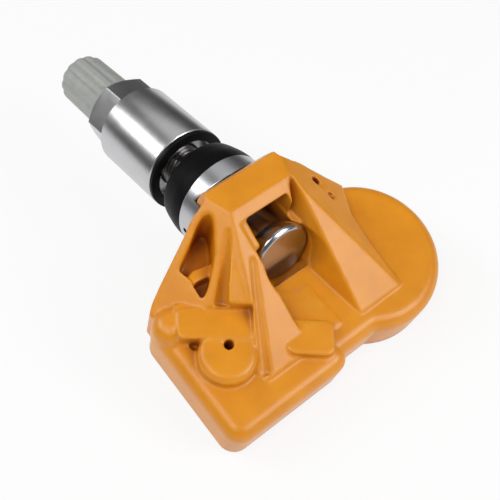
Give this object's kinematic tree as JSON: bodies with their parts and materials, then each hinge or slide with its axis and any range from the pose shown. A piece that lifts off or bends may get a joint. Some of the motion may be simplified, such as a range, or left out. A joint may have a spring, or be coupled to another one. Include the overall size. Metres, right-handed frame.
{
  "type": "tyre pressure sensor",
  "caption": "Tyre pressure sensor: a moulded electronics case that tilts on the ball head of a metal clamp-in valve with grommet, nut and cap.",
  "frame": {"origin": "on the valve axis, at the rubber face that bears on the inside of the rim", "axes": "+Y along the valve towards its cap, +X across the case towards its round lobe, +Z towards the ribbed side of the case"},
  "size_m": [0.0485, 0.0749, 0.0278],
  "materials": {
    "case_plastic": "satin moulded",
    "board_green": "lacquered",
    "cell_steel": "brushed",
    "nickel_strip": "plated",
    "black_resin": "matte",
    "soft_rubber": "matte",
    "white_felt": "matte",
    "copper_wire": "enamelled",
    "tan_ceramic": "fired",
    "turned_alloy": "turned, satin",
    "hard_rubber": "satin",
    "washer_plastic": "satin",
    "brass": "turned",
    "spring_steel": "drawn",
    "cap_plastic": "satin moulded"
  },
  "bodies": {
    "valve": {"valve_stem": "turned_alloy", "collar": "turned_alloy", "grommet": "hard_rubber", "core_barrel": "brass", "core_ring": "white_felt", "core_spring": "spring_steel"},
    "case": {"housing": "case_plastic", "back_cover": "case_plastic", "circuit_board": "board_green", "battery_cell": "cell_steel", "battery_tab_top": "nickel_strip", "battery_tab_bottom": "nickel_strip", "sensor_chip": "black_resin", "port_seal": "soft_rubber", "port_filter": "white_felt", "crystal": "nickel_strip", "coil_core": "black_resin", "coil_winding": "copper_wire", "antenna_loop": "nickel_strip", "capacitors": "tan_ceramic"},
    "rim_washer": {"washer": "washer_plastic"},
    "nut": {"nut": "turned_alloy"},
    "cap_seal": {"cap_seal": "soft_rubber"},
    "cap": {"cap": "cap_plastic"},
    "core_plunger": {"core_pin": "brass", "core_cup": "soft_rubber"}
  },
  "joints": [
    {"name": "case_tilt", "type": "hinge", "parent": "valve", "child": "case", "pos_m": [0, -0.0212, 0], "axis": [1, 0, 0], "range_deg": [-19, 21]},
    {"name": "washer_slide", "type": "slide", "parent": "valve", "child": "rim_washer", "axis": [0, 1, 0], "range_m": [-0.0028, 0]},
    {"name": "nut_turn", "type": "hinge", "parent": "rim_washer", "child": "nut", "pos_m": [0, 0.0038, 0], "axis": [0, 1, 0], "range_deg": [-1400, 60]},
    {"name": "cap_slide", "type": "slide", "parent": "valve", "child": "cap_seal", "axis": [0, 1, 0], "range_m": [0, 0.011]},
    {"name": "cap_turn", "type": "hinge", "parent": "cap_seal", "child": "cap", "pos_m": [0, 0.0239, 0], "axis": [0, 1, 0], "range_deg": [-60, 5100]},
    {"name": "core_press", "type": "slide", "parent": "valve", "child": "core_plunger", "axis": [0, -1, 0], "range_m": [0, 0.0015], "stiffness_N_per_m": 900, "springref_m": -0.0015, "deforming": ["core_spring"]}
  ],
  "couplings": [
    {"joint": "nut_turn", "follows": "washer_slide", "rad_per_m": 8377.6},
    {"joint": "cap_turn", "follows": "cap_slide", "rad_per_m": 7913.3}
  ]
}
